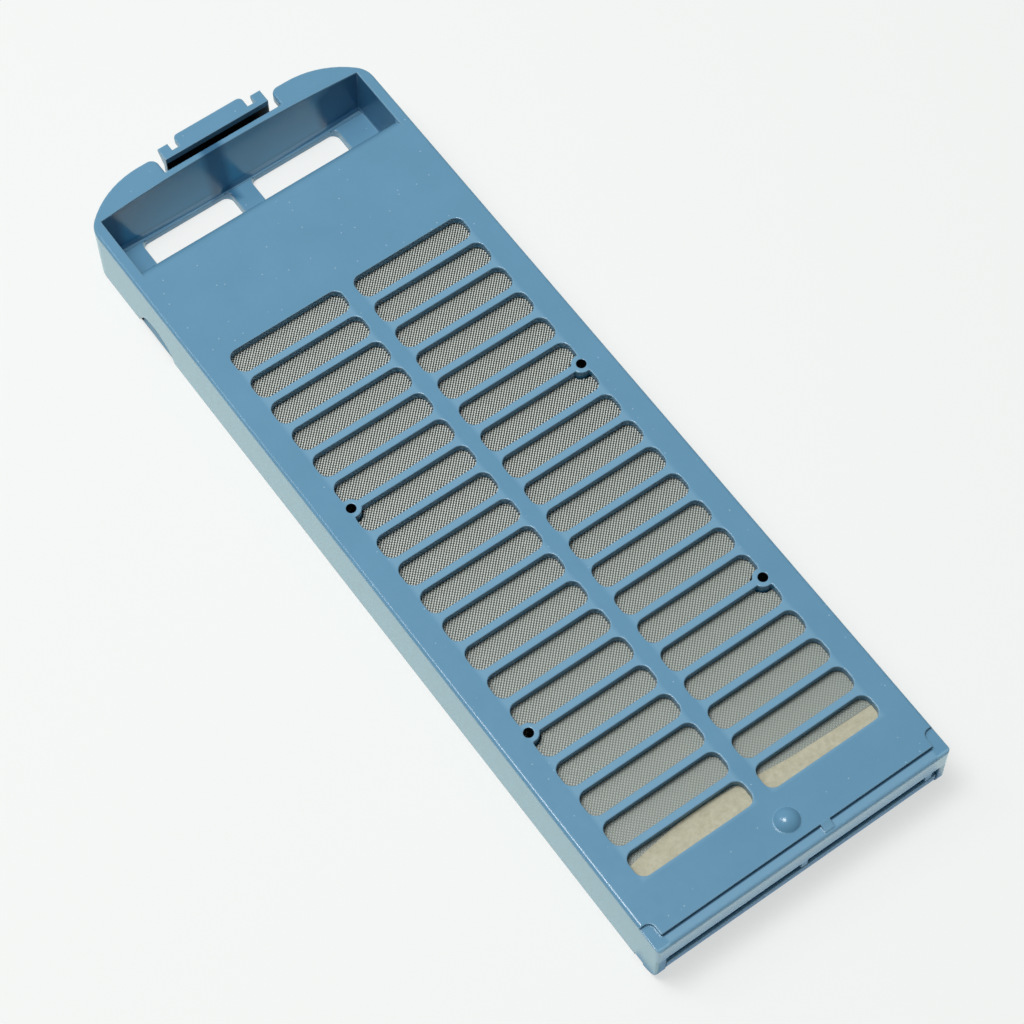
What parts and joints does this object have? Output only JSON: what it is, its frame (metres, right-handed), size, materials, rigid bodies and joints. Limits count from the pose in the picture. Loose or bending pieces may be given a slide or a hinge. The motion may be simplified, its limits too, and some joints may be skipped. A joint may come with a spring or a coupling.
{
  "type": "washing machine lint filter",
  "caption": "Flat blue lint filter cassette: slotted grille over a woven screen, finger well with a springy release latch, and a hinged rear cover that opens for cleaning.",
  "frame": {"origin": "under the middle of the whole part, on the plane of its back", "axes": "+X across the filter, +Y from the hinge end to the handle end, +Z out of the grille face"},
  "size_m": [0.0744, 0.2196, 0.018],
  "materials": {
    "blue_plastic": "satin moulded plastic",
    "screen_cloth": "fine woven thread",
    "hem_cloth": "sealed cloth band"
  },
  "bodies": {
    "case": {"front_case": "blue_plastic", "mesh_screen": "screen_cloth", "screen_hem": "hem_cloth"},
    "cover": {"rear_cover": "blue_plastic"},
    "latch": {"release_latch": "blue_plastic"}
  },
  "joints": [
    {"name": "cover_hinge", "type": "hinge", "parent": "case", "child": "cover", "pos_m": [0, -0.10735, 0.0051], "axis": [-1, 0, 0], "range_deg": [0, 100]},
    {"name": "latch_flex", "type": "hinge", "parent": "case", "child": "latch", "pos_m": [0, 0.10545, 0.0024], "axis": [1, 0, 0], "range_deg": [0, 8], "stiffness_Nm_per_rad": 0.2}
  ]
}
